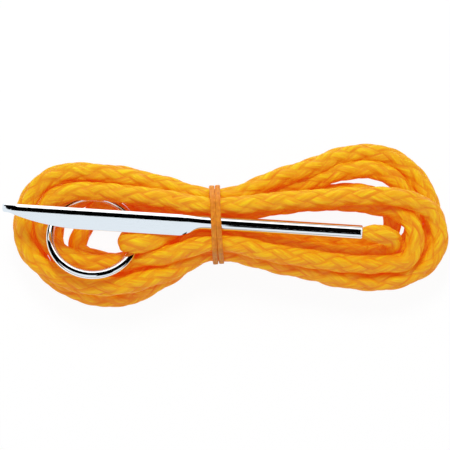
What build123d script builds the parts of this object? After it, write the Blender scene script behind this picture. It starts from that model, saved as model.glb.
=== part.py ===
# Fish stringer: a hank of hollow braid rope with a needle at one end and a ring at the other.
# Millimetres. The hank lies on z = 0, +Z is up, +X runs along the needle towards its socket.
import os
from math import cos, dist, pi, radians, sin, sqrt, tan

from build123d import *

# Rope
rope_d = 5.5
rope_sides = 8
rope_clearance = 0.75
flat_share = 0.1

# Needle: a tube with a socket for the rope, pressed flat into a blade
needle_length = 120.0
needle_d = 4.76
socket_d = 3.6
socket_depth = 30.0
tube_length = 51.4
neck_length = 7.6
blade_thickness = 1.3
back_roll_d = 2.2
blade_back = 2.2
blade_belly = 4.9
belly_length = 27.2
tip_width = 2.2
tip_round = 1.05
blade_edge_round = 0.5
needle_end_x = 45.8
needle_end_y = -2.58
needle_turn = 3.64
needle_rise = 1.2

# Ring
ring_outer_d = 31.75
ring_wire_d = 3.0
ring_wire_sides = 12
ring_eye_x = -29.4
ring_y = -3.75
ring_z = 14.55
ring_tilt = 26.5

# Rubber band, two turns side by side
band_turn_width = 1.75
band_thickness = 0.8
band_groove_width = 0.25
band_groove_depth = 0.5
band_clearance = 0.4
band_lean = 3.2

# Waist of the hank: rows of runs stacked as close as they go, counted in rows and half steps
waist_x = -2.7
lower_slots = [(2, -1), (3, -2), (2, -3), (1, -2), (0, -1), (1, 0)]
upper_slots = [(2, 1), (3, 2), (2, 3), (1, 2), (0, 1)]

# Left turns: how far they lie outside the ring's sides, height in layers, and how the two runs spread
left_room = [-10.05, 0.95, 7.75, 3.75, -3.45]
left_lower_nose = [12.0, 21.0, 29.0, 27.0, 17.0]
left_upper_nose = [12.0, 13.0, 18.0, 24.0, 16.5]
left_end_y = [-4.0, 1.5, 0.5, -4.0, -4.0]
left_end_layer = [0.0, 0.95, 1.0, 0.0, 0.0]
left_lower_room = [-7.9, -6.7, 1.0, 5.3, -1.2]
left_lower_layer = [0.32, 1.33, 1.9, 0.0, 0.0]
left_upper_room = [-8.5, -0.9, 5.6, 4.9, -1.8]
left_upper_layer = [0.2, 1.75, 1.35, 0.0, 0.0]

# Right turns: reach from the origin; the first lower run comes from the needle
right_reach = [63.5, 71.5, 69.0, 62.6, 56.2]
right_upper_nose = [30.0, 20.0, 25.0, 19.0, 13.0]
right_lower_nose = [15.0, 21.0, 25.0, 19.0, 13.0]
right_end_y = [-7.0, -3.5, 1.0, 1.0, 1.2]
right_end_layer = [1.95, 1.4, 0.0, 0.0, 0.0]
right_upper_y = [8.7, 9.6, 23.7, 17.3, 10.9]
right_upper_layer = [1.0, 2.5, 0.0, 0.0, 0.0]
right_lower_y = [-9.7, -13.2, -19.0, -18.5, -12.1, -5.6]
right_lower_layer = [1.0, 2.05, 1.35, 0.0, 0.0, 0.0]
lead_x = 42.0

# Rope between the needle and the hank: a straight length, then corners
lead_straight = 7.4
lead_corners = [(56.8, -5.4, 14.8), (55.2, -8.6, 10.6)]
lead_run_in = 4.3
rope_end_clearance = 0.1

# Rope between the hank and the ring: corners of the standing part, then the loop round the wire
eye_straight = 3.6
eye_corners = [(-17.5, -1.9, 7.6), (-24.0, -3.75, 8.2)]
eye_low = (-31.2, -4.7, 9.1)
eye_high = (-31.4, -6.4, 21.3)
eye_tail = (-30.0, -4.4, 9.4)

# Share of the spread and of the drop that a run has made half way from the waist
half_way_spread = 0.62
half_way_drop = 0.3

# Share of the shorter run that an arc of a free stretch takes up at a corner
corner_share = 0.45

# How far the tube's end of the neck falls short of a full circle
neck_flat = 0.01

# Values that follow from the sizes above
rope_r = rope_d / 2
rope_area = rope_sides / 2 * rope_r**2 * sin(2 * pi / rope_sides)
flat_depth = flat_share * rope_d
pitch = rope_d + rope_clearance
row_height = pitch * sin(radians(60))
floor_z = rope_r - flat_depth
waist_z = rope_r + band_clearance + band_thickness
top_row = max(row for row, step in lower_slots + upper_slots)
needle_z = waist_z + top_row * row_height + rope_r - needle_d / 2 + needle_rise
ring_r = (ring_outer_d - ring_wire_d) / 2
ring_x = ring_eye_x - ring_r
left_reach = [ring_outer_d / 2 - ring_x + room for room in left_room]
left_lower_y = [ring_y - ring_outer_d / 2 - room for room in left_lower_room]
left_upper_y = [ring_y + ring_outer_d / 2 + room for room in left_upper_room]


def layer_z(layer):
    """Height of the rope's middle in a layer of the pile."""
    return floor_z + layer * pitch


def waist_point(slot):
    """Place of a run where the band draws the hank in and passes under it."""
    row, step = slot
    return Vector(waist_x, step * pitch / 2, waist_z + row * row_height)


def half_way(waist, shoulder):
    """Place and direction of a run half way from the waist to its shoulder."""
    place = Vector(
        (waist.X + shoulder.X) / 2,
        waist.Y + (shoulder.Y - waist.Y) * half_way_spread,
        waist.Z + (shoulder.Z - waist.Z) * half_way_drop,
    )
    return place, shoulder - waist


def hank_stations():
    """Places and directions along the hank, from the needle's end to the ring's end."""
    leftwards = Vector(-1, 0, 0)
    rightwards = Vector(1, 0, 0)
    stations = []
    for turn, slot in enumerate(lower_slots):
        waist = waist_point(slot)
        if turn == 0:
            shoulder_x = lead_x
        else:
            end = turn - 1
            shoulder_x = right_reach[end] - right_lower_nose[end]
            place = Vector(right_reach[end], right_end_y[end], layer_z(right_end_layer[end]))
            stations.append((place, Vector(0, -1, 0)))
        shoulder = Vector(shoulder_x, right_lower_y[turn], layer_z(right_lower_layer[turn]))
        place, outwards = half_way(waist, shoulder)
        stations += [(shoulder, leftwards), (place, -outwards), (waist, leftwards)]
        if turn == len(upper_slots):
            break
        shoulder_x = left_lower_nose[turn] - left_reach[turn]
        shoulder = Vector(shoulder_x, left_lower_y[turn], layer_z(left_lower_layer[turn]))
        stations += [half_way(waist, shoulder), (shoulder, leftwards)]
        place = Vector(-left_reach[turn], left_end_y[turn], layer_z(left_end_layer[turn]))
        stations.append((place, Vector(0, 1, 0)))
        waist = waist_point(upper_slots[turn])
        shoulder_x = left_upper_nose[turn] - left_reach[turn]
        shoulder = Vector(shoulder_x, left_upper_y[turn], layer_z(left_upper_layer[turn]))
        place, outwards = half_way(waist, shoulder)
        stations += [(shoulder, rightwards), (place, -outwards), (waist, rightwards)]
        shoulder_x = right_reach[turn] - right_upper_nose[turn]
        shoulder = Vector(shoulder_x, right_upper_y[turn], layer_z(right_upper_layer[turn]))
        stations += [half_way(waist, shoulder), (shoulder, rightwards)]
    return [(place, direction.normalized()) for place, direction in stations]


def biarc(start, start_direction, finish, finish_direction):
    """Two arcs that meet smoothly between two stations."""
    chord = finish - start
    a = 2 - 2 * start_direction.dot(finish_direction)
    b = 2 * chord.dot(start_direction + finish_direction)
    c = chord.dot(chord)
    reach = c / b if abs(a) < 1e-9 else (sqrt(b * b + 4 * a * c) - b) / (2 * a)
    first = start + start_direction * reach
    second = finish - finish_direction * reach
    joint = (first + second) / 2
    TangentArc(start, joint, tangent=start_direction)
    TangentArc(joint, finish, tangent=second - first)


def corner_radii(points):
    """The largest even arcs that the runs of a free stretch leave room for."""
    radii = []
    for before, corner, after in zip(points, points[1:], points[2:]):
        run_in = Vector(corner) - Vector(before)
        run_out = Vector(after) - Vector(corner)
        half_turn = radians(run_in.get_angle(run_out)) / 2
        radii.append(corner_share * min(run_in.length, run_out.length) / tan(half_turn))
    return radii


def least_gap(path):
    """The least room between two stretches of the rope, measured on points."""
    points = []
    along = 0.0
    for edge in path.edges():
        steps = max(2, round(edge.length / 2))
        for step in range(steps):
            point = edge.position_at(step / steps)
            points.append((along + edge.length * step / steps, (point.X, point.Y, point.Z)))
        along += edge.length
    far = 4 * rope_d
    return min(
        dist(a, b)
        for index, (here, a) in enumerate(points)
        for there, b in points[index + 1:]
        if there - here > far
    ) - rope_d


os.makedirs("parts", exist_ok=True)

# Needle: tube with its socket, neck, and blade with a rolled straight back and a curved belly
needle_direction = Vector(-cos(radians(needle_turn)), sin(radians(needle_turn)), 0)
needle_end = Vector(needle_end_x, needle_end_y, needle_z)
needle_plane = Plane(origin=needle_end, x_dir=needle_direction, z_dir=(0, 0, 1))
needle_section = Plane(origin=needle_end, x_dir=needle_plane.y_dir, z_dir=needle_direction)
needle_direction_axis = Axis(needle_end, needle_direction)
blade_start = tube_length + neck_length
blade_width = blade_back + blade_belly
blade_middle = (blade_belly - blade_back) / 2
roll_middle = back_roll_d / 2 - blade_back

with BuildPart() as needle:
    with BuildSketch(needle_plane) as blade_outline:
        with BuildLine():
            heel = Line((blade_start, blade_belly), (blade_start, -blade_back))
            back = Line(heel @ 1, (needle_length, -blade_back))
            tip = Line(back @ 1, (needle_length, tip_width - blade_back))
            belly = Line(heel @ 0, (needle_length - belly_length, blade_belly))
            TangentArc(belly @ 1, tip @ 1, tangent=(1, 0))
        make_face()
        fillet(blade_outline.vertices().group_by(Axis.X)[-1], tip_round)
    extrude(amount=blade_thickness / 2, both=True)
    rims = needle.faces().filter_by(Axis.Z).edges()
    fillet(rims.sort_by(needle_direction_axis)[2:], blade_edge_round)
    with BuildSketch(needle_section.offset(tube_length)):
        RectangleRounded(needle_d, needle_d, (needle_d - neck_flat) / 2)
    with BuildSketch(needle_section.offset(blade_start)):
        with Locations((blade_middle, 0)):
            RectangleRounded(blade_width, blade_thickness, blade_edge_round)
    loft()
    with BuildSketch(needle_section.offset(tube_length)):
        with Locations((roll_middle, 0)):
            Circle(back_roll_d / 2)
    extrude(amount=needle_length - tube_length - back_roll_d / 2)
    with Locations(needle_plane.from_local_coords((needle_length - back_roll_d / 2, roll_middle, 0))):
        Sphere(back_roll_d / 2)
    with BuildSketch(needle_section):
        Circle(needle_d / 2)
    extrude(amount=tube_length)
    with BuildSketch(needle_section):
        Circle(socket_d / 2)
    extrude(amount=socket_depth, mode=Mode.SUBTRACT)

needle.part.label = "needle"
export_step(needle.part, "parts/needle.step")

# Ring: round wire closed into a circle, leaning on the strands under it
ring_centre = Vector(ring_x, ring_y, ring_z)
ring_axis = Vector(0, sin(radians(ring_tilt)), cos(radians(ring_tilt)))
ring_wire_plane = Plane(origin=ring_centre, x_dir=(1, 0, 0), z_dir=Vector(1, 0, 0).cross(ring_axis))

with BuildPart() as ring:
    with BuildSketch(ring_wire_plane):
        with Locations((ring_r, 0)):
            RegularPolygon(ring_wire_d / 2, ring_wire_sides)
    revolve(axis=Axis(ring_centre, ring_axis))

ring.part.label = "ring"
export_step(ring.part, "parts/ring.step")

# Hank: one unbroken rope in an outward spiral on top and an inward spiral below
stations = hank_stations()
hank_start = stations[0][0] + Vector(rope_d, 0, 0)
hank_end = stations[-1][0] - Vector(rope_d, 0, 0)

with BuildPart() as rope_hank:
    with BuildLine() as hank_path:
        Line(hank_start, stations[0][0])
        for (start, start_direction), (finish, finish_direction) in zip(stations, stations[1:]):
            biarc(start, start_direction, finish, finish_direction)
        Line(stations[-1][0], hank_end)
    with BuildSketch(Plane(origin=hank_start, z_dir=(-1, 0, 0))):
        RegularPolygon(rope_r, rope_sides)
    sweep(path=hank_path.wire())
    hank_share = rope_hank.part.volume / (rope_area * hank_path.wire().length)
    split(bisect_by=Plane.XY, keep=Keep.TOP)

rope_hank.part.label = "rope_hank"
export_step(rope_hank.part, "parts/rope_hank.step")
print(f"hank: {hank_path.wire().length:.0f} mm of rope, least gap to itself {least_gap(hank_path):.2f} mm")
print(f"hank: volume over section x length {hank_share:.4f}")

# Lead: from the needle's socket, over and down into the first run of the hank
lead_points = [
    needle_end,
    needle_end - needle_direction * lead_straight,
    *lead_corners,
    hank_start + Vector(lead_run_in, 0, 0),
    hank_start,
]
lead_radii = corner_radii(lead_points)

with BuildPart() as rope_lead:
    with BuildLine() as lead_path:
        FilletPolyline(*lead_points, radius=lead_radii)
    with BuildSketch(needle_section):
        RegularPolygon(rope_r, rope_sides)
    sweep(path=lead_path.wire())
    lead_share = rope_lead.part.volume / (rope_area * lead_path.wire().length)
    with BuildSketch(needle_section):
        Circle(socket_d / 2 - rope_end_clearance)
    extrude(amount=socket_depth - rope_end_clearance)

rope_lead.part.label = "rope_lead"
export_step(rope_lead.part, "parts/rope_lead.step")
print(f"lead: {lead_path.wire().length:.0f} mm, volume over section x length {lead_share:.4f}")
print("lead: radii", [round(radius, 1) for radius in lead_radii])

# Eye: the rope goes round the ring's wire and back into its own hollow core
stand_points = [hank_end, hank_end - Vector(eye_straight, 0, 0), *eye_corners, eye_low]
stand_radii = corner_radii(stand_points)

with BuildPart() as rope_eye:
    with BuildLine() as eye_path:
        stand = FilletPolyline(*stand_points, radius=stand_radii)
        round_wire = TangentArc(stand @ 1, eye_high, tangent=stand % 1)
    with BuildSketch(Plane(origin=hank_end, z_dir=(-1, 0, 0))):
        RegularPolygon(rope_r, rope_sides)
    sweep(path=eye_path.wire())
    eye_share = rope_eye.part.volume / (rope_area * eye_path.wire().length)
    with BuildLine() as tail_path:
        tail = TangentArc(round_wire @ 1, eye_tail, tangent=round_wire % 1)
    with BuildSketch(Plane(origin=tail @ 0, z_dir=tail % 0)):
        RegularPolygon(rope_r, rope_sides)
    sweep(path=tail_path.wire())

rope_eye.part.label = "rope_eye"
export_step(rope_eye.part, "parts/rope_eye.step")
print(f"eye: {eye_path.wire().length + tail.length:.0f} mm, volume over section x length {eye_share:.4f}")
print("eye: radii", [round(radius, 1) for radius in stand_radii + [round_wire.radius, tail.radius]])

# Rubber band: drawn tight round the runs and the needle, leaning a little across the hank
band_axis = Vector(cos(radians(band_lean)), sin(radians(band_lean)), 0)
band_plane = Plane(origin=(waist_x, 0, 0), x_dir=Vector(0, 0, 1).cross(band_axis), z_dir=band_axis)
band_width = 2 * band_turn_width + band_groove_width
needle_at_band = needle_end_y + (needle_end_x - waist_x) * tan(radians(needle_turn))

with BuildSketch(band_plane) as bundle:
    for slot in lower_slots + upper_slots:
        place = waist_point(slot)
        with Locations((place.Y, place.Z)):
            Circle(rope_r + band_clearance)
    with Locations((needle_at_band, needle_z)):
        Circle(needle_d / 2 + band_clearance)
    make_hull()

with BuildPart() as band:
    with BuildSketch(band_plane.offset(-band_width / 2)):
        add(bundle.sketch_local)
        offset(amount=band_thickness)
        add(bundle.sketch_local, mode=Mode.SUBTRACT)
    extrude(amount=band_width)
    with BuildSketch(band_plane.offset(-band_groove_width / 2)):
        add(bundle.sketch_local)
        offset(amount=band_thickness)
        offset(bundle.sketch_local, amount=band_thickness - band_groove_depth, mode=Mode.SUBTRACT)
    extrude(amount=band_groove_width, mode=Mode.SUBTRACT)

band.part.label = "band"
export_step(band.part, "parts/band.step")
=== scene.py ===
from math import cos, pi, radians, sin, sqrt, tau

import bpy
import numpy as np
from mathutils import Matrix, Vector


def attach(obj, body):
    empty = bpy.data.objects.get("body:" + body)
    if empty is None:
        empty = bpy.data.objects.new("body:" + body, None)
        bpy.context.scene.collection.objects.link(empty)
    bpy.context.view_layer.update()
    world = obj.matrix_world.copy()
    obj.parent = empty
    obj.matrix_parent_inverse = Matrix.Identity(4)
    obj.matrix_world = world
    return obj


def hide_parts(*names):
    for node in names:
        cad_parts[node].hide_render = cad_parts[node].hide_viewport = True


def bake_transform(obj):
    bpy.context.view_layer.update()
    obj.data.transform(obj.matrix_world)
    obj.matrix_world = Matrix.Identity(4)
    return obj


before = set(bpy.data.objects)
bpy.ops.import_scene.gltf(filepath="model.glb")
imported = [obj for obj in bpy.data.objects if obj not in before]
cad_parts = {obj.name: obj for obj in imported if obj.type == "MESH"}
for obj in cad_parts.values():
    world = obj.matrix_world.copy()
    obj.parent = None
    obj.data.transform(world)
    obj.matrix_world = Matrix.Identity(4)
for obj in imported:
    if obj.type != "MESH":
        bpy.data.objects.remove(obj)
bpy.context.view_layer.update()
bpy.ops.object.select_all(action="DESELECT")

# Sizes in metres, as in the part's source
rope_d = 0.0055  # pulled tight, as in the solids
rope_look_d = 0.0065  # over the crowns of the braid
pitch = 0.00625  # from one strand's middle to the next
row_height = pitch * sin(radians(60))
floor_z = 0.0022  # middle of the lowest strands in the lobes
waist_z = 0.00395  # middle of the lowest strands in the band
waist_x = -0.0027
band_lean = radians(3.2)
needle_d = 0.00476
needle_r = needle_d / 2
needle_rise = 0.0012
needle_length = 0.120
tube_length = 0.0514
needle_turn = radians(3.64)
needle_z = waist_z + 3 * row_height + rope_d / 2 - needle_r + needle_rise
needle_end = Vector((0.0458, -0.00258, needle_z))
needle_direction = Vector((-cos(needle_turn), sin(needle_turn), 0))
needle_side = Vector((-sin(needle_turn), -cos(needle_turn), 0))
ring_middle = Vector((-0.043775, -0.00375, 0.01455))
ring_tilt = radians(26.5)
ring_r = 0.014375
ring_wire_r = 0.0015
eye_middle = np.array((ring_middle.x + ring_r, -0.0055, 0.0150))
clear_of_floor = 0.00003


def linear(hex_colour):
    """Linear red, green, blue and alpha of an sRGB hex value."""
    parts = [int(hex_colour[i:i + 2], 16) / 255 for i in (1, 3, 5)]
    bent = [p / 12.92 if p <= 0.04045 else ((p + 0.055) / 1.055) ** 2.4 for p in parts]
    return [*bent, 1.0]


def new_material(name):
    """An empty node material and its output node."""
    material = bpy.data.materials.new(name)
    material.use_nodes = True
    material.node_tree.nodes.clear()
    return material, add_node(material, "ShaderNodeOutputMaterial")


def add_node(material, kind, inputs=None, links=None, **settings):
    """Adds a node with its settings, the values of its sockets, and the sockets that feed it."""
    node = material.node_tree.nodes.new(kind)
    for key, value in settings.items():
        setattr(node, key, value)
    for key, value in (inputs or {}).items():
        node.inputs[key].default_value = value
    for key, source in (links or {}).items():
        material.node_tree.links.new(source, node.inputs[key])
    return node


def set_ramp(node, stops):
    """Puts the colour stops on a ramp node."""
    ramp = node.color_ramp
    while len(ramp.elements) < len(stops):
        ramp.elements.new(1.0)
    for element, (place, colour) in zip(ramp.elements, stops):
        element.position = place
        element.color = colour


def mesh_piece(name, vertices, faces):
    """A piece made of points and faces, in its place."""
    mesh = bpy.data.meshes.new(name)
    mesh.from_pydata(vertices, [], faces)
    piece = bpy.data.objects.new(name, mesh)
    bpy.context.scene.collection.objects.link(piece)
    return piece


def shade_smooth(piece):
    """Smooth shading on every face."""
    piece.data.polygons.foreach_set("use_smooth", [True] * len(piece.data.polygons))


def face_outwards(piece):
    """Turns a closed piece's faces outwards, and leaves it selected."""
    bpy.ops.object.select_all(action="DESELECT")
    bpy.context.view_layer.objects.active = piece
    piece.select_set(True)
    bpy.ops.object.mode_set(mode="EDIT")
    bpy.ops.mesh.select_all(action="SELECT")
    bpy.ops.mesh.normals_make_consistent(inside=False)
    bpy.ops.object.mode_set(mode="OBJECT")


# Rope: lines of the hank, the eye and the lead

# The runs through the band: row of the pile, and half steps across
lower_slots = [(2, -1), (3, -2), (2, -3), (1, -2), (0, -1), (1, 0)]
upper_slots = [(2, 1), (3, 2), (2, 3), (1, 2), (0, 1)]

# The turns of the two lobes, outwards over the top and back inwards underneath: places in millimetres,
# heights in layers of the pile; a nose is how far a turn's shoulder lies behind its end
ring_side = 15.875
ring_out = 43.775
ring_across = -3.75
left_reach = [ring_side + ring_out + room for room in (-11.3, 0.95, 7.75, 3.75, -2.8)]
left_lower_nose = [12.0, 21.0, 29.0, 27.0, 17.0]
left_upper_nose = [10.5, 13.0, 18.0, 24.0, 16.5]
left_end_y = [-4.0, 1.5, 0.5, -4.0, -4.0]
left_end_layer = [0.0, 0.95, 1.0, 0.0, 0.0]
left_slant = [0.45, 0.0, 0.0, 0.0, 0.0]
left_lower_y = [ring_across - ring_side - room for room in (-7.3, -6.7, 1.0, 4.8, -0.3)]
left_lower_layer = [0.32, 1.33, 1.9, 0.0, 0.0]
left_upper_y = [ring_across + ring_side + room for room in (-5.4, -0.9, 5.6, 4.9, -1.8)]
left_upper_layer = [0.2, 1.75, 1.35, 0.0, 0.0]
right_reach = [63.5, 71.5, 69.4, 63.4, 56.2]
right_upper_nose = [30.0, 20.0, 22.0, 16.5, 13.0]
right_lower_nose = [15.0, 21.0, 25.0, 19.0, 13.0]
right_end_y = [-7.0, -3.5, 1.0, 1.0, 1.2]
right_end_layer = [1.95, 1.4, 0.0, 0.0, 0.0]
right_upper_y = [7.7, 9.6, 23.9, 18.5, 10.9]
right_upper_layer = [1.0, 2.5, 0.0, 0.3, 0.0]
right_lower_y = [-9.7, -13.2, -19.0, -18.5, -12.1, -5.6]
right_lower_layer = [1.0, 2.05, 1.35, 0.0, 0.0, 0.0]
lead_x = 42.0

# Share of the spread and of the drop that a run has made half way from the waist
half_way_spread = 0.62
tight_spread = 0.53
tight_turns = (2, 3)
half_way_drop = 0.3


def spot(x, y, layer):
    """A point of the pile, from millimetres and a layer."""
    return Vector((x / 1000, y / 1000, floor_z + layer * pitch))


def waist_spot(slot):
    """Where a run passes through the band."""
    row, step = slot
    return Vector((waist_x, step * pitch / 2, waist_z + row * row_height))


def half_way(waist, shoulder, spread=half_way_spread):
    """Place and direction of a run half way from the waist to its shoulder."""
    place = Vector((
        (waist.x + shoulder.x) / 2,
        waist.y + (shoulder.y - waist.y) * spread,
        waist.z + (shoulder.z - waist.z) * half_way_drop,
    ))
    return place, shoulder - waist


def hank_stations():
    """Places and directions along the hank, from the needle's end to the ring's end."""
    leftwards = Vector((-1, 0, 0))
    rightwards = Vector((1, 0, 0))
    downwards = Vector((0, -1, 0))
    stations = []
    for turn, slot in enumerate(lower_slots):
        # In from the right lobe along its lower side
        waist = waist_spot(slot)
        right_spread = tight_spread if turn in tight_turns else half_way_spread
        shoulder_x = lead_x
        if turn > 0:
            end = turn - 1
            shoulder_x = right_reach[end] - right_lower_nose[end]
            stations.append((spot(right_reach[end], right_end_y[end], right_end_layer[end]), downwards))
        shoulder = spot(shoulder_x, right_lower_y[turn], right_lower_layer[turn])
        place, outwards = half_way(waist, shoulder, right_spread)
        stations += [(shoulder, leftwards), (place, -outwards), (waist, leftwards)]
        if turn == len(upper_slots):
            break
        # Round the left lobe
        shoulder_x = left_lower_nose[turn] - left_reach[turn]
        shoulder = spot(shoulder_x, left_lower_y[turn], left_lower_layer[turn])
        stations += [half_way(waist, shoulder), (shoulder, leftwards)]
        upwards = Vector((left_slant[turn], 1, 0))
        stations.append((spot(-left_reach[turn], left_end_y[turn], left_end_layer[turn]), upwards))
        waist = waist_spot(upper_slots[turn])
        shoulder_x = left_upper_nose[turn] - left_reach[turn]
        shoulder = spot(shoulder_x, left_upper_y[turn], left_upper_layer[turn])
        place, outwards = half_way(waist, shoulder)
        stations += [(shoulder, rightwards), (place, -outwards), (waist, rightwards)]
        # Out to the right lobe along its upper side
        shoulder_x = right_reach[turn] - right_upper_nose[turn]
        shoulder = spot(shoulder_x, right_upper_y[turn], right_upper_layer[turn])
        stations += [half_way(waist, shoulder, right_spread), (shoulder, rightwards)]
    return [(place, direction.normalized()) for place, direction in stations]


def turn_corners(start, start_direction, finish, finish_direction):
    """The two corner points of the route between two stations."""
    chord = finish - start
    a = 2 - 2 * start_direction.dot(finish_direction)
    b = 2 * chord.dot(start_direction + finish_direction)
    c = chord.dot(chord)
    reach = c / b if abs(a) < 1e-9 else (sqrt(b * b + 4 * a * c) - b) / (2 * a)
    return [start + start_direction * reach, finish - finish_direction * reach]


def smooth_line(name, points):
    """Points along the smooth spline of a route."""
    curve = bpy.data.curves.new(name, "CURVE")
    curve.dimensions = "3D"
    curve.resolution_u = 24
    spline = curve.splines.new("NURBS")
    spline.points.add(len(points) - 1)
    for control, point in zip(spline.points, points):
        control.co = (*point, 1.0)
    spline.order_u = 3
    spline.use_endpoint_u = True
    holder = bpy.data.objects.new(name, curve)
    bpy.context.scene.collection.objects.link(holder)
    mesh = bpy.data.meshes.new_from_object(holder)
    line = np.array([v.co for v in mesh.vertices])
    bpy.data.objects.remove(holder)
    bpy.data.curves.remove(curve)
    bpy.data.meshes.remove(mesh)
    return line


def lengths_along(line):
    """How far along a line each of its points is, and which points aren't doubles."""
    along = np.r_[0, np.cumsum(np.linalg.norm(np.diff(line, axis=0), axis=1))]
    return along, np.r_[True, np.diff(along) > 1e-9]


def points_along(line, along, keep, places):
    """The points at some lengths along a line."""
    columns = [np.interp(places, along[keep], line[keep, k]) for k in range(line.shape[1])]
    return np.stack(columns, axis=1)


def even_steps(line, step):
    """The same line with its points a steady step apart, and how far along each one is."""
    along, keep = lengths_along(line)
    places = np.linspace(0, along[-1], int(round(along[-1] / step)) + 1)
    return points_along(line, along, keep, places), places


# Braid: four strands each way, each over one and under one, in real millimetres
strands_each_way = 4
braid_pitch = 0.040
strand_rise = 0.00030
strand_crown = 0.00044
crown_power = 1.5
rope_sides = 36
rope_step = 0.00062

# The band squeezes the rope at the waist, and the hollow rope lies flat round the ring's wire
waist_squeeze = 0.14
waist_squeeze_length = 0.006
eye_reach = 0.0078
eye_fade = 0.0016
eye_widen = 0.08
eye_flatten = 0.42


def braid_height(around, along):
    """How far the surface stands out at a share of the way round and a length along."""
    right = strands_each_way * (around + along / braid_pitch)
    left = strands_each_way * (around - along / braid_pitch)
    right_middle = np.sin(pi * (np.floor(right) + 0.5))
    left_middle = np.sin(pi * (np.floor(left) + 0.5))

    def crown(place):
        across = 2 * (place - np.floor(place)) - 1
        return strand_crown * np.cos(pi / 2 * np.abs(across) ** crown_power)

    right_height = crown(right) + strand_rise * right_middle * np.sin(pi * left)
    left_height = crown(left) - strand_rise * left_middle * np.sin(pi * right)
    return np.maximum(right_height, left_height)


def line_directions(points):
    """Directions along a line and, without twist, across it."""
    tangents = np.gradient(points, axis=0)
    tangents /= np.linalg.norm(tangents, axis=1)[:, None]
    normal = np.array([0.0, 0.0, 1.0])
    normals = []
    for tangent in tangents:
        normal = normal - tangent * (normal @ tangent)
        normal = normal / np.linalg.norm(normal)
        normals.append(normal)
    normals = np.array(normals)
    return tangents, normals, np.cross(tangents, normals)


def rope_places(points, along, width):
    """The points of the rope's surface, ring by ring; the last one of a ring is its first again."""
    tangents, normals, sideways = line_directions(points)
    around = np.arange(rope_sides + 1) / rope_sides
    angle = tau * around[None, :, None]
    outwards = np.cos(angle) * normals[:, None] + np.sin(angle) * sideways[:, None]
    core = rope_look_d / 2 - strand_rise - strand_crown
    squeeze = 1 - waist_squeeze * np.exp(-((points[:, 0] - waist_x) / waist_squeeze_length) ** 2)
    height = braid_height(around[None, :], along[:, None])
    reach = (core + height) * (width(along) * squeeze)[:, None]
    offsets = reach[:, :, None] * outwards
    to_wire = eye_middle - points
    near = np.clip((eye_reach - np.linalg.norm(to_wire, axis=1)) / eye_fade, 0, 1)
    to_wire -= tangents * np.sum(to_wire * tangents, axis=1)[:, None]
    to_wire /= np.linalg.norm(to_wire, axis=1)[:, None]
    inwards = np.sum(offsets * to_wire[:, None], axis=2)
    offsets = offsets * (1 + eye_widen * near)[:, None, None]
    offsets -= (eye_flatten * near[:, None] * inwards)[:, :, None] * to_wire[:, None]
    places = points[:, None] + offsets
    places[:, :, 2] = np.maximum(places[:, :, 2], clear_of_floor)
    return places


def braided_rope(name, line, width):
    """A braided tube along a line; width gives the share of its full width at a length along."""
    points, along = even_steps(line, rope_step)
    places = rope_places(points, along, width)
    rings = len(points)
    vertices = places[:, :rope_sides].reshape(-1, 3)
    i, j = np.meshgrid(np.arange(rings - 1), np.arange(rope_sides), indexing="ij")
    k = (j + 1) % rope_sides
    here, ahead = i * rope_sides, (i + 1) * rope_sides
    faces = np.stack([here + k, ahead + k, ahead + j, here + j], axis=-1).reshape(-1, 4)
    faces = [tuple(f) for f in faces]
    faces.append(tuple(range(rope_sides)))
    faces.append(tuple((rings - 1) * rope_sides + n for n in reversed(range(rope_sides))))
    piece = mesh_piece(name, [tuple(v) for v in vertices], faces)
    # The braid's own map: once round is 1, and one pitch along is 1
    u_here, u_next = j / rope_sides, (j + 1) / rope_sides
    v_here, v_next = along[i] / braid_pitch, along[i + 1] / braid_pitch
    u = np.stack([u_next, u_next, u_here, u_here], axis=-1)
    v = np.stack([v_here, v_next, v_next, v_here], axis=-1)
    uv = np.zeros((len(piece.data.loops), 2), np.float32)
    uv[:u.size, 0] = u.ravel()
    uv[:v.size, 1] = v.ravel()
    layer = piece.data.uv_layers.new(name="rope_braid")
    layer.data.foreach_set("uv", uv.ravel())
    shade_smooth(piece)
    piece.data.update()
    return piece, points


stations = hank_stations()
hank_start = stations[0][0] + Vector((rope_d, 0, 0))
hank_end = stations[-1][0] - Vector((rope_d, 0, 0))
rope_route = [hank_start]
for (start, start_way), (finish, finish_way) in zip(stations, stations[1:]):
    rope_route += turn_corners(start, start_way, finish, finish_way)
rope_route.append(hank_end)
eye_route = [  # in millimetres, round the ring's wire and back into the rope
    (-11.8, 0.0, 9.36), (-17.5, -1.9, 7.6), (-24.0, -3.75, 8.2), (-30.0, -4.7, 9.1), (-33.4, -5.2, 9.6),
    (-33.6, -6.2, 20.4), (-26.5, -6.0, 20.6), (-19.5, -3.9, 16.2), (-14.5, -2.2, 10.4),
]
rope_route += [Vector(p) / 1000 for p in eye_route]
lead_route = [  # from inside the needle's socket down to the hank
    needle_end + needle_direction * 0.006,
    needle_end + needle_direction * 0.002,
    needle_end - needle_direction * 0.0074,
    Vector((0.0568, -0.0054, 0.0148)),
    Vector((0.0552, -0.0086, 0.0106)),
    hank_start + Vector((0.0043, 0, 0)),
    hank_start,
]


def full_width(along):
    """The rope's full width all along."""
    return np.ones_like(along)


def lead_width(along):
    """Squeezed in the needle's socket, and full a little way out of it; counted from the hank."""
    left = lead_length - along
    return np.interp(left, [0.0, 0.0060, 0.0072, 0.0100], [0.54, 0.54, 0.74, 1.0])


hank_line = smooth_line("rope_line", rope_route)
lead_line = smooth_line("lead_line", lead_route)[::-1]
lead_length = float(np.linalg.norm(np.diff(lead_line, axis=0), axis=1).sum())
hank_rope, hank_points = braided_rope("hank_rope", hank_line, full_width)
lead_rope, _ = braided_rope("lead_rope", lead_line, lead_width)


# Needle: a tube whose far end is pressed flat into a blade with a faceted back, a rounded crest and a
# long face

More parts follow.
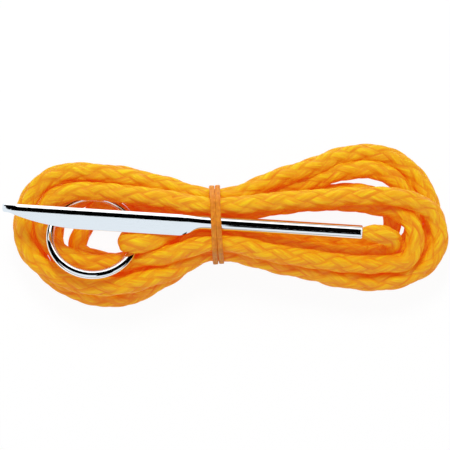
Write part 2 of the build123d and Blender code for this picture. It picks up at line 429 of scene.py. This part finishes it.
neck_length = 0.0098
neck_rings = 20
belly_lag = 0.0018
blade_back = 0.0022
blade_width = 0.0071
belly_length = 0.0272
belly_end = 0.0015
belly_rings = 30
belly_curve = 2.1
least_face = 0.15
tip_width = 0.0027
tip_length = 0.0042
tip_blend = 0.0028
tip_top = 0.00075
tip_slope = 0.19
tip_round = 0.0011
tip_rings = 6
tip_end_least = 0.02
tip_end_thick = 0.3
tip_end_wide = 0.45
tip_end_shift = 0.0007
rim_share = 0.93
bore_share = 0.78
rim_depth = 0.0003
socket_depth = 0.030
crease_angle = radians(40)

# The blade's section from the back: wall, back facet, rounded crest, long face, and sharp belly. Each is a
# list of points across and up in millimetres, the angles round the tube that it grows out of, and its steps.
blade_parts = [
    ([(0.0, 0.0), (0.01, 0.15), (0.05, 0.298)], 180.0, 128.0, 6),
    ([(0.05, 0.298), (1.0, 0.751)], 128.0, 114.0, 6),
    ([(1.0, 0.751), (1.24, 0.848), (1.48, 0.912), (1.72, 0.946), (1.96, 0.950), (2.2, 0.925)],
     114.0, 82.0, 15),
    ([(2.2, 0.925), (7.05, 0.105)], 82.0, 12.0, 14),
    ([(7.05, 0.105), (7.1, 0.0)], 12.0, 0.0, 2),
]
face_start = 0.0022
face_slope = (0.925 - 0.105) / (7.05 - 2.2)


def section_points():
    """The points of the blade's upper side, across and up in metres, and their angles round the tube."""
    blade, angles = [(0.0, 0.0)], [180.0]
    for corners, first, last, steps in blade_parts:
        shares = np.linspace(0, 1, steps + 1)[1:]
        places = np.linspace(0, 1, len(corners))
        across, up = [np.interp(shares, places, [c[k] for c in corners]) / 1000 for k in (0, 1)]
        blade += list(zip(across, up))
        angles += list(first + (last - first) * shares)
    return np.array(blade), np.radians(angles)


blade_side, tube_angles = section_points()


def ease(share):
    """A share that starts and ends gently."""
    share = np.clip(share, 0, 1)
    return share * share * (3 - 2 * share)


def needle_section(away):
    """Points round the needle's section at a length from its socket: across towards the belly, and up."""
    tube = np.stack([np.cos(tube_angles), np.sin(tube_angles)], axis=1) * needle_r
    across, up = blade_side.T
    # The neck gets flat a little sooner than its belly gets wide
    flat = float(ease((away - tube_length) / neck_length))
    wide = float(ease((away - tube_length - belly_lag) / (neck_length - belly_lag)))
    share = np.clip((across - face_start) / (blade_width - face_start), 0, 1)
    spread = flat * (1 - share) + wide * share
    # The belly curves in towards the tip
    taper = np.clip((away - needle_length + belly_length) / (belly_length - belly_end), 0, 1)
    width = tip_width + (blade_width - tip_width) * (1 - taper**belly_curve)
    squeeze = max(least_face, (width - face_start) / (blade_width - face_start))
    narrow = np.where(across > face_start, face_start + (across - face_start) * squeeze, across)
    # The narrowing face keeps its slope, so its edge gets thicker towards the tip
    up = np.where((across > face_start) & (up > 0), up + face_slope * (across - narrow), up)
    across = narrow * min(1.0, width / face_start)
    # The very tip is one plain facet, thinning to its end
    plain = np.clip((away - needle_length + tip_length) / tip_blend, 0, 1)
    rounding = np.clip((away - needle_length + tip_round) / tip_round, 0, 1)
    thin = sqrt(max(tip_end_least, 1 - rounding**2))
    tip_up = np.minimum(up, tip_top - tip_slope * across)
    up = (up * (1 - plain) + tip_up * plain) * (tip_end_thick + (1 - tip_end_thick) * thin)
    across = across * (tip_end_wide + (1 - tip_end_wide) * thin) + (1 - thin) * tip_end_shift - blade_back
    top_across = tube[:, 0] * (1 - spread) + across * spread
    top_up = tube[:, 1] * (1 - flat) + up * flat
    top = np.stack([top_across, top_up], axis=1)
    bottom = np.stack([top_across, -top_up], axis=1)[1:-1][::-1]
    return np.r_[top, bottom]


def needle_ring(away):
    """One ring of the needle's points, in metres in the frame."""
    middle = np.array(needle_end + needle_direction * away)
    side = np.array(needle_side)
    return [tuple(middle + a * side + u * np.array((0, 0, 1))) for a, u in needle_section(away)]


def build_needle():
    """The needle with its open socket, as rings joined along its length."""
    belly_start = needle_length - belly_length
    belly_run = belly_length - tip_round
    tip_start = needle_length - tip_round
    places = [0.0, rim_depth, 2 * rim_depth, 0.02, 0.04, tube_length]
    places += [tube_length + neck_length * n / neck_rings for n in range(1, neck_rings + 1)]
    places += [0.068, 0.076, 0.084, belly_start]
    places += [belly_start + belly_run * n / belly_rings for n in range(1, belly_rings + 1)]
    places += [tip_start + tip_round * sin(pi / 2 * n / tip_rings) for n in range(1, tip_rings + 1)]
    rings = [needle_ring(p) for p in places]
    count = len(rings[0])
    # The mouth of the socket: a rim a little smaller than the tube, and the bore inside it
    start = np.array(needle_end)
    outer = [np.array(p) - start for p in rings[0]]
    rings[0] = [tuple(start + p * rim_share) for p in outer]
    bore = [[tuple(start + p * bore_share + np.array(needle_direction) * depth) for p in outer]
            for depth in (socket_depth, rim_depth, 0.0)]
    rings = bore + rings
    vertices = [p for ring in rings for p in ring]
    faces = []
    for r in range(len(rings) - 1):
        for n in range(count):
            m = (n + 1) % count
            faces.append((r * count + n, (r + 1) * count + n, (r + 1) * count + m, r * count + m))
    faces.append(tuple(range(count)))
    faces.append(tuple((len(rings) - 1) * count + n for n in reversed(range(count))))
    piece = mesh_piece("needle_steel", vertices, faces)
    face_outwards(piece)
    bpy.ops.object.shade_smooth_by_angle(angle=crease_angle)
    return piece


needle = build_needle()


# Ring: a round wire spun into a circle

ring_wire_sides = 40
ring_steps = 144


def build_ring():
    """The ring, spun from a circle of wire and leaned over."""
    axis = Vector((0, sin(ring_tilt), cos(ring_tilt)))
    bpy.ops.mesh.primitive_circle_add(vertices=ring_wire_sides, radius=ring_wire_r,
                                      location=(ring_r, 0, 0), rotation=(pi / 2, 0, 0))
    piece = bpy.context.active_object
    bpy.ops.object.transform_apply(location=True, rotation=True, scale=True)
    bpy.ops.object.mode_set(mode="EDIT")
    bpy.ops.mesh.select_all(action="SELECT")
    bpy.ops.mesh.spin(steps=ring_steps, angle=tau, center=(0, 0, 0), axis=(0, 0, 1))
    bpy.ops.mesh.select_all(action="SELECT")
    bpy.ops.mesh.remove_doubles(threshold=1e-7)
    bpy.ops.mesh.normals_make_consistent(inside=False)
    bpy.ops.object.mode_set(mode="OBJECT")
    lean = Vector((0, 0, 1)).rotation_difference(axis).to_matrix().to_4x4()
    piece.data.transform(Matrix.Translation(ring_middle) @ lean)
    shade_smooth(piece)
    piece.name = piece.data.name = "ring_steel"
    return piece


ring = build_ring()


# Rubber band: two turns side by side, drawn tight round the runs and the needle

band_steps = 180
band_width = 0.00175
band_thick = 0.0010
band_sides = 20
band_corner = 0.55  # the power that squares the strip's rounded section
band_offset = 0.00091
band_sway = 0.00012
sway_phase = 1.7
band_lift = 0.00006
lift_phase = 2.1
needle_gap = 0.0001
outline_steps = 720


def band_outline():
    """The tight line round the waist: across and up, evenly spaced."""
    needle_y = needle_end.y + (needle_end.x - waist_x) * sin(needle_turn) / cos(needle_turn)
    circles = [(waist_spot(s).y, waist_spot(s).z, rope_d / 2) for s in lower_slots + upper_slots]
    circles.append((needle_y, needle_z, needle_r + needle_gap))
    outline = []
    for step in range(outline_steps):
        a = tau * step / outline_steps
        y, z, r = max(circles, key=lambda c: c[0] * cos(a) + c[1] * sin(a) + c[2])
        outline.append((y + r * cos(a), z + r * sin(a)))
    outline = np.array(outline + outline[:1])
    along, keep = lengths_along(outline)
    return points_along(outline, along, keep, np.arange(band_steps) / band_steps * along[-1])


def squared(value):
    """A share of a circle's reach, pushed out towards a square's."""
    return np.sign(value) * abs(value) ** band_corner


def build_band():
    """Two turns of flat rubber strip round the waist."""
    outline = band_outline()
    band_axis = Vector((cos(band_lean), sin(band_lean), 0))
    band_side = Vector((-sin(band_lean), cos(band_lean), 0))
    ahead = np.roll(outline, -1, axis=0) - np.roll(outline, 1, axis=0)
    outwards = np.stack([ahead[:, 1], -ahead[:, 0]], axis=1) / np.linalg.norm(ahead, axis=1)[:, None]
    profile = []
    for n in range(band_sides):
        a = tau * n / band_sides
        profile.append((squared(cos(a)) * band_width / 2,
                        band_thick / 2 + squared(sin(a)) * band_thick / 2))
    vertices, faces = [], []
    for turn, offset in enumerate((-band_offset, band_offset)):
        base = len(vertices)
        for n in range(band_steps):
            # Each turn sways and stands off a little, in its own rhythm
            sway = band_sway * sin(tau * n / band_steps * 2 + turn * sway_phase)
            lift = band_lift * (1 + sin(tau * n / band_steps * 3 + turn * lift_phase))
            for side, out in profile:
                y, z = outline[n] + outwards[n] * (out + lift)
                place = Vector((waist_x, 0, z)) + band_axis * (offset + side + sway) + band_side * y
                vertices.append((place.x, place.y, max(place.z, clear_of_floor)))
        for n in range(band_steps):
            here, there = base + n * band_sides, base + (n + 1) % band_steps * band_sides
            for p in range(band_sides):
                q = (p + 1) % band_sides
                faces.append((here + p, there + p, there + q, here + q))
    piece = mesh_piece("band_rubber", vertices, faces)
    shade_smooth(piece)
    face_outwards(piece)
    return piece


band = build_band()


# Polypropylene rope: soft shiny yarn, with painted shade that turns it from yellow where the strands crown
# to red-orange where they dip, and a painted red-orange glow

def polypropylene_braid():
    """Strands of yarn over and under each other, laid out on the rope's own map."""
    material, output = new_material("polypropylene_braid")
    uv = add_node(material, "ShaderNodeUVMap", uv_map="rope_braid")
    split = add_node(material, "ShaderNodeSeparateXYZ", links={"Vector": uv.outputs["UV"]})
    total = add_node(material, "ShaderNodeMath", operation="ADD",
                     links={0: split.outputs["X"], 1: split.outputs["Y"]})
    less = add_node(material, "ShaderNodeMath", operation="SUBTRACT",
                    links={0: split.outputs["X"], 1: split.outputs["Y"]})
    right = add_node(material, "ShaderNodeMath", {1: strands_each_way}, {0: total.outputs[0]},
                     operation="MULTIPLY")
    left = add_node(material, "ShaderNodeMath", {1: strands_each_way}, {0: less.outputs[0]},
                    operation="MULTIPLY")
    # Which strand lies on top here, how far across it and along it
    right_floor = add_node(material, "ShaderNodeMath", links={0: right.outputs[0]}, operation="FLOOR")
    left_floor = add_node(material, "ShaderNodeMath", links={0: left.outputs[0]}, operation="FLOOR")
    both = add_node(material, "ShaderNodeMath", operation="ADD",
                    links={0: right_floor.outputs[0], 1: left_floor.outputs[0]})
    odd = add_node(material, "ShaderNodeMath", {1: 2.0}, {0: both.outputs[0]}, operation="FLOORED_MODULO")
    right_part = add_node(material, "ShaderNodeMath", links={0: right.outputs[0]}, operation="FRACT")
    left_part = add_node(material, "ShaderNodeMath", links={0: left.outputs[0]}, operation="FRACT")
    across = add_node(material, "ShaderNodeMix", data_type="FLOAT",
                      links={0: odd.outputs[0], 2: right_part.outputs[0], 3: left_part.outputs[0]})
    lengthwise = add_node(material, "ShaderNodeMix", data_type="FLOAT",
                          links={0: odd.outputs[0], 2: left.outputs[0], 3: right.outputs[0]})
    strand = add_node(material, "ShaderNodeMix", data_type="FLOAT",
                      links={0: odd.outputs[0], 2: right_floor.outputs[0], 3: left_floor.outputs[0]})
    # A strand is a flat bundle about 4 mm wide of yarns about 0.5 mm wide, each 10 mm or more in sight
    yarn_place = add_node(material, "ShaderNodeCombineXYZ",
                          links={"X": across.outputs[0], "Y": lengthwise.outputs[0],
                                 "Z": strand.outputs[0]})
    yarn_stretch = add_node(material, "ShaderNodeVectorMath", {1: (6.0, 0.6, 5.3)},
                            {0: yarn_place.outputs[0]}, operation="MULTIPLY")
    yarn = add_node(material, "ShaderNodeTexNoise", {"Scale": 1.0, "Detail": 3.0, "Roughness": 0.55},
                    {"Vector": yarn_stretch.outputs[0]}, noise_dimensions="3D")
    streak = add_node(material, "ShaderNodeMapRange", {"From Min": 0.33, "From Max": 0.67},
                      {"Value": yarn.outputs["Fac"]})
    middle = add_node(material, "ShaderNodeMath", {1: 0.5}, {0: across.outputs[0]}, operation="SUBTRACT")
    off = add_node(material, "ShaderNodeMath", links={0: middle.outputs[0]}, operation="ABSOLUTE")
    crown = add_node(material, "ShaderNodeMapRange", {"From Min": 0.5, "From Max": 0.1},
                     {"Value": off.outputs[0]}, interpolation_type="SMOOTHSTEP")
    # Painted shade: the colour darkens from yellow on each strand's crown to red-orange at its edges, where
    # the strands dip under each other; the yarn streaks add a random tone
    painted_crease_shade = add_node(material, "ShaderNodeMath", {1: 0.35}, {0: crown.outputs[0]}, operation="MULTIPLY")
    yarn_tone_and_painted_shade = add_node(material, "ShaderNodeMath", {1: 0.65}, {0: streak.outputs[0], 2: painted_crease_shade.outputs[0]},
                         operation="MULTIPLY_ADD")
    colour = add_node(material, "ShaderNodeValToRGB", links={"Fac": yarn_tone_and_painted_shade.outputs[0]})
    set_ramp(colour, [(0.0, linear("#9C760A")), (0.5, linear("#A4960C")), (1.0, linear("#AEBA10"))])
    bump_height = add_node(material, "ShaderNodeMath", {1: 0.8},
                           {0: streak.outputs[0], 2: crown.outputs[0]}, operation="MULTIPLY_ADD")
    bump = add_node(material, "ShaderNodeBump", {"Strength": 0.45, "Distance": 0.0003},
                    {"Height": bump_height.outputs[0]})
    # Painted glow: the rope gives off red-orange light of its own though it is no lamp, which lifts the
    # shade between strands to red-orange; the olive base colours above read yellow to orange with it
    shader = add_node(material, "ShaderNodeBsdfPrincipled",
                      {"Roughness": 0.5, "IOR": 1.49, "Specular IOR Level": 0.2, "Subsurface Weight": 0.2,
                       "Subsurface Radius": (1.0, 0.35, 0.05), "Subsurface Scale": 0.0008,
                       "Emission Color": linear("#FF320A"), "Emission Strength": 0.42},
                      {"Base Color": colour.outputs["Color"], "Normal": bump.outputs["Normal"]})
    material.node_tree.links.new(shader.outputs[0], output.inputs["Surface"])
    return material


# Nickel plate on steel: bright mirror metal with the faint unevenness of drawn tube and wire

def nickel_plate(name, roughness, grain):
    """Bright plate; grain is how many of the metal's uneven patches go into a metre each way."""
    material, output = new_material(name)
    place = add_node(material, "ShaderNodeTexCoord")
    stretch = add_node(material, "ShaderNodeMapping", {"Scale": grain}, {"Vector": place.outputs["Object"]})
    noise = add_node(material, "ShaderNodeTexNoise", {"Scale": 1.0, "Detail": 3.0},
                     {"Vector": stretch.outputs[0]})
    rough = add_node(material, "ShaderNodeMapRange",
                     {"From Min": 0.3, "From Max": 0.7,
                      "To Min": roughness * 0.6, "To Max": roughness * 1.4},
                     {"Value": noise.outputs["Fac"]})
    bump = add_node(material, "ShaderNodeBump", {"Strength": 0.02, "Distance": 0.0001},
                    {"Height": noise.outputs["Fac"]})
    shader = add_node(material, "ShaderNodeBsdfPrincipled",
                      {"Base Color": linear("#F2F3F4"), "Metallic": 1.0},
                      {"Roughness": rough.outputs[0], "Normal": bump.outputs["Normal"]})
    material.node_tree.links.new(shader.outputs[0], output.inputs["Surface"])
    return material


# Gum rubber: amber, a little see-through, with a soft waxy shine

def gum_rubber():
    """Amber rubber with a fine mottle, about 1 mm from patch to patch."""
    material, output = new_material("gum_rubber")
    place = add_node(material, "ShaderNodeTexCoord")
    noise = add_node(material, "ShaderNodeTexNoise", {"Scale": 900.0, "Detail": 4.0},
                     {"Vector": place.outputs["Object"]})
    colour = add_node(material, "ShaderNodeValToRGB", links={"Fac": noise.outputs["Fac"]})
    set_ramp(colour, [(0.3, linear("#BC6A12")), (0.7, linear("#D88A1E"))])
    bump = add_node(material, "ShaderNodeBump", {"Strength": 0.15, "Distance": 0.0001},
                    {"Height": noise.outputs["Fac"]})
    shader = add_node(material, "ShaderNodeBsdfPrincipled",
                      {"Roughness": 0.45, "IOR": 1.52, "Specular IOR Level": 0.3, "Subsurface Weight": 0.4,
                       "Subsurface Radius": (1.0, 0.5, 0.15), "Subsurface Scale": 0.0006},
                      {"Base Color": colour.outputs["Color"], "Normal": bump.outputs["Normal"]})
    material.node_tree.links.new(shader.outputs[0], output.inputs["Surface"])
    return material


rope_material = polypropylene_braid()
for piece in (hank_rope, lead_rope):
    piece.data.materials.append(rope_material)
needle.data.materials.append(nickel_plate("nickel_plated_tube", 0.05, (300, 2500, 2500)))
ring.data.materials.clear()
ring.data.materials.append(nickel_plate("nickel_plated_wire", 0.06, (900, 900, 900)))
band.data.materials.append(gum_rubber())

# Pieces on their bodies
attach(hank_rope, "hank")
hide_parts("rope_hank", "rope_eye")
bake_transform(lead_rope)
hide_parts("rope_lead")
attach(needle, "needle")
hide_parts("needle")
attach(ring, "ring")
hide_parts("ring")
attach(band, "hank")
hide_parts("band")


# Stage: white floor and world, a soft lamp, and cards that only the bright metal sees

def white_floor():
    """White to the camera, and matte enough to keep the object's shadow."""
    material, output = new_material("white_floor")
    ray = add_node(material, "ShaderNodeLightPath")
    seen = add_node(material, "ShaderNodeMath", operation="MAXIMUM",
                    links={0: ray.outputs["Is Camera Ray"], 1: ray.outputs["Is Transmission Ray"]})
    # Metal shows the white floor too, but within 30 mm it shows the object's shadow there
    far = add_node(material, "ShaderNodeMath", {1: 0.03}, {0: ray.outputs["Ray Length"]},
                   operation="GREATER_THAN")
    metal = add_node(material, "ShaderNodeMath", operation="MULTIPLY",
                     links={0: ray.outputs["Is Glossy Ray"], 1: far.outputs[0]})
    seen_all = add_node(material, "ShaderNodeMath", operation="MAXIMUM",
                        links={0: seen.outputs[0], 1: metal.outputs[0]})
    share = add_node(material, "ShaderNodeMath", {1: 0.94}, {0: seen_all.outputs[0]}, operation="MULTIPLY")
    glow = add_node(material, "ShaderNodeEmission", {"Color": (1, 1, 1, 1), "Strength": 1.0})
    matte = add_node(material, "ShaderNodeBsdfDiffuse", {"Color": linear("#F4F4F4")})
    mix = add_node(material, "ShaderNodeMixShader",
                   links={0: share.outputs[0], 1: matte.outputs[0], 2: glow.outputs[0]})
    material.node_tree.links.new(mix.outputs[0], output.inputs["Surface"])
    return material


def flat_glow(name, colour, strength):
    """A card's even glow."""
    material, output = new_material(name)
    glow = add_node(material, "ShaderNodeEmission", {"Color": colour, "Strength": strength})
    material.node_tree.links.new(glow.outputs[0], output.inputs["Surface"])
    return material


def place_card(name, place, material, lights=None):
    """A card that only bright metal sees; one that lights some pieces only looks black to the others."""
    bpy.ops.mesh.primitive_plane_add(size=2)
    card = bpy.context.active_object
    card.name = name
    card.data.transform(place)
    card.data.materials.append(material)
    card.visible_camera = False
    card.visible_diffuse = False
    card.visible_shadow = False
    card.visible_transmission = False
    if lights:
        card.light_linking.receiver_collection = lights


def add_card(name, lean, half_angle, middle, half_length, distance, material, lights=None):
    """A card over the object, in line with the needle, leaned from straight up towards -Y."""
    half_width = distance * np.tan(radians(half_angle))
    turn = Matrix.Rotation(-needle_turn, 4, "Z") @ Matrix.Rotation(radians(lean), 4, "X")
    size = Matrix.Diagonal((half_length, half_width, 1, 1))
    place_card(name, turn @ Matrix.Translation((middle, 0, distance)) @ size, material, lights)


def add_wall(name, x, material, lights):
    """An upright card to the left or right of the object."""
    half_height, half_length, middle_z = 0.25, 0.6, 0.26
    upright = Matrix.Rotation(pi / 2, 4, "Y") @ Matrix.Diagonal((half_height, half_length, 1, 1))
    place_card(name, Matrix.Translation((x, 0.0, middle_z)) @ upright, material, lights)


bpy.ops.object.select_all(action="DESELECT")
bpy.ops.mesh.primitive_plane_add(size=6)
floor = bpy.context.active_object
floor.name = "floor"
floor.data.materials.append(white_floor())

black = flat_glow("black_card", (0, 0, 0, 1), 0.0)
bright = flat_glow("bright_card", (1, 1, 1, 1), 1.5)
pale = flat_glow("pale_card", (0.80, 0.87, 0.93, 1), 1.05)

# The ring shows a room that is dark to the left and right, which would turn the flat blade black from other
# sides, so the cards there light the needle only. Lean and half angle are in degrees, the rest in metres.
needle_only = bpy.data.collections.new("needle_only")
needle_only.objects.link(needle)
add_card("side_card_left", -15.5, 32.5, -0.645, 0.375, 0.42, pale, needle_only)
add_card("side_card_right", -15.5, 32.5, 0.51, 0.39, 0.42, pale, needle_only)
add_card("back_card_left", -61, 15, -0.54, 0.31, 0.38, pale, needle_only)
add_card("back_card_right", -61, 15, 0.58, 0.31, 0.38, pale, needle_only)
add_wall("wall_card_left", -1.0, pale, needle_only)
add_wall("wall_card_right", 0.95, pale, needle_only)
add_card("black_card_top", -15.5, 32.5, -0.075, 0.195, 0.42, black)
add_card("bright_card_back", -61, 15, -0.03, 0.08, 0.38, bright)
add_card("bright_card_tube", -61, 15, 0.16, 0.11, 0.38, bright, needle_only)
add_card("bright_card_side", -62.5, 13.5, -0.17, 0.06, 0.38, bright)
add_card("pale_card_front", 38.5, 21.5, 0.0, 0.40, 0.42, pale)
add_card("black_card_front", 27.5, 10.5, 0.10 + waist_x, 0.10, 0.37, black)

# World: white to the camera, dimmer low down to the metal, and dimmer overhead to the rope
world = bpy.data.worlds.new("studio")
bpy.context.scene.world = world
world.use_nodes = True
world.node_tree.nodes.clear()
world_out = add_node(world, "ShaderNodeOutputWorld")
world_ray = add_node(world, "ShaderNodeLightPath")
world_place = add_node(world, "ShaderNodeTexCoord")
world_split = add_node(world, "ShaderNodeSeparateXYZ", links={"Vector": world_place.outputs["Generated"]})
world_fade = add_node(world, "ShaderNodeMapRange", {"From Max": 0.45, "To Min": 0.25},
                      {"Value": world_split.outputs["Z"]}, interpolation_type="SMOOTHSTEP")
world_sky = add_node(world, "ShaderNodeMapRange", {"To Min": 1.2, "To Max": 0.40},
                     {"Value": world_split.outputs["Z"]})
world_glossy = add_node(world, "ShaderNodeMix", data_type="FLOAT",
                        links={0: world_ray.outputs["Is Glossy Ray"], 2: world_sky.outputs[0],
                               3: world_fade.outputs[0]})
world_seen = add_node(world, "ShaderNodeMath", operation="MAXIMUM",
                      links={0: world_ray.outputs["Is Camera Ray"],
                             1: world_ray.outputs["Is Transmission Ray"]})
world_strength = add_node(world, "ShaderNodeMix", {3: 1.0}, data_type="FLOAT",
                          links={0: world_seen.outputs[0], 2: world_glossy.outputs[0]})
world_glow = add_node(world, "ShaderNodeBackground", {"Color": (1, 1, 1, 1)},
                      {"Strength": world_strength.outputs[0]})
world.node_tree.links.new(world_glow.outputs[0], world_out.inputs["Surface"])

# Key lamp: a soft round lamp behind the object, aimed at it
key_place = Vector((-0.02, 0.37, 0.53))
key_data = bpy.data.lights.new("key_lamp", "AREA")
key_data.shape = "DISK"
key_data.size = 0.24
key_data.energy = 2.75
key_lamp = bpy.data.objects.new("key_lamp", key_data)
bpy.context.scene.collection.objects.link(key_lamp)
key_lamp.location = key_place
key_lamp.visible_glossy = False
key_lamp.rotation_euler = (Vector((0, 0, 0.01)) - key_place).to_track_quat("-Z", "Y").to_euler()

# Camera: straight above and far away, 150 mm across the picture
picture_width = 0.150
lens, sensor = 1000, 36
camera_data = bpy.data.cameras.new("camera")
camera_data.lens = lens
camera_data.sensor_width = sensor
camera_data.clip_end = 30
camera = bpy.data.objects.new("camera", camera_data)
bpy.context.scene.collection.objects.link(camera)
camera.location = (0.00017, -0.00008, picture_width * lens / sensor + 0.012)
bpy.context.scene.camera = camera
bpy.context.scene.view_settings.view_transform = "Standard"
